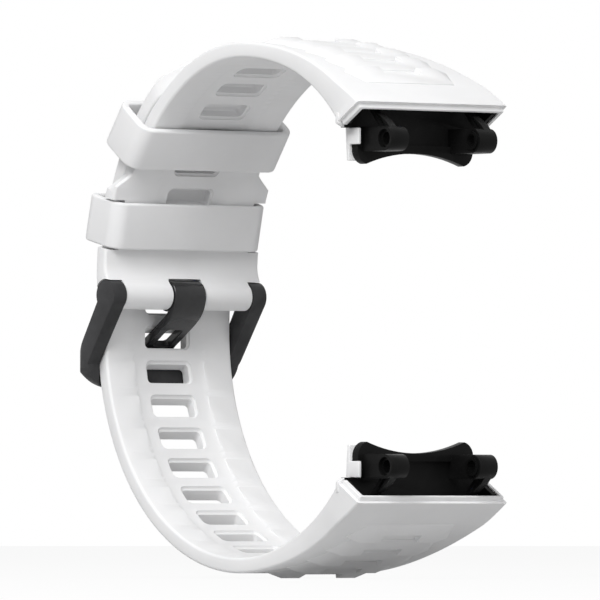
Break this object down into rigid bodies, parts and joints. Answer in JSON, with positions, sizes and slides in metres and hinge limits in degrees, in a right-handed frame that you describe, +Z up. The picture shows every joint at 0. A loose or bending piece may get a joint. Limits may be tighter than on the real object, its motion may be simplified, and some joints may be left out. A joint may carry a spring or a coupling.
{
  "type": "watch strap",
  "caption": "Two-piece silicone wrist strap for a sports watch, buckled into a loop, with metal buckle, keeper loops and case connectors.",
  "frame": {"origin": "middle of the base of the buckled loop's bounding box", "axes": "+X from the buckle towards the watch case, +Y across the strap, +Z up"},
  "size_m": [0.067, 0.027, 0.0748],
  "materials": {
    "silicone": "matte white moulded silicone",
    "keeper_silicone": "matte white moulded silicone",
    "buckle_metal": "black satin coated metal",
    "tongue_metal": "black polished coated metal",
    "connector_metal": "black matte coated metal",
    "bar_steel": "plain steel",
    "bush_steel": "dark coated steel"
  },
  "bodies": {
    "strap_loop": {"short_strap": "silicone", "long_strap": "silicone", "keeper_lower": "keeper_silicone", "spring_bar_barrel": "bar_steel", "spring_bar_fixed_tip": "bar_steel", "spring_bar_spring": "bar_steel", "connector_upper": "connector_metal", "lug_bush_upper_near": "bush_steel", "lug_bush_upper_far": "bush_steel", "connector_lower": "connector_metal", "lug_bush_lower_near": "bush_steel", "lug_bush_lower_far": "bush_steel"},
    "sliding_keeper": {"keeper_upper": "keeper_silicone"},
    "frame": {"buckle_frame": "buckle_metal"},
    "tongue": {"buckle_tongue": "tongue_metal"},
    "plunger": {"spring_bar_plunger": "bar_steel"}
  },
  "joints": [
    {"name": "keeper_travel", "type": "hinge", "parent": "strap_loop", "child": "sliding_keeper", "pos_m": [0.00449, 0, 0.04223], "axis": [0, 1, 0], "range_deg": [0, 14]},
    {"name": "frame_pivot", "type": "hinge", "parent": "strap_loop", "child": "frame", "pos_m": [-0.02613, 0, 0.03958], "axis": [0, 1, 0], "range_deg": [0, 1.5]},
    {"name": "tongue_pivot", "type": "hinge", "parent": "strap_loop", "child": "tongue", "pos_m": [-0.02613, 0, 0.03958], "axis": [0, 1, 0], "range_deg": [0, 2]},
    {"name": "plunger_press", "type": "slide", "parent": "strap_loop", "child": "plunger", "axis": [0, 1, 0], "range_m": [0, 0.0011], "stiffness_N_per_m": 300, "springref_m": -0.001, "deforming": ["spring_bar_spring"]}
  ]
}
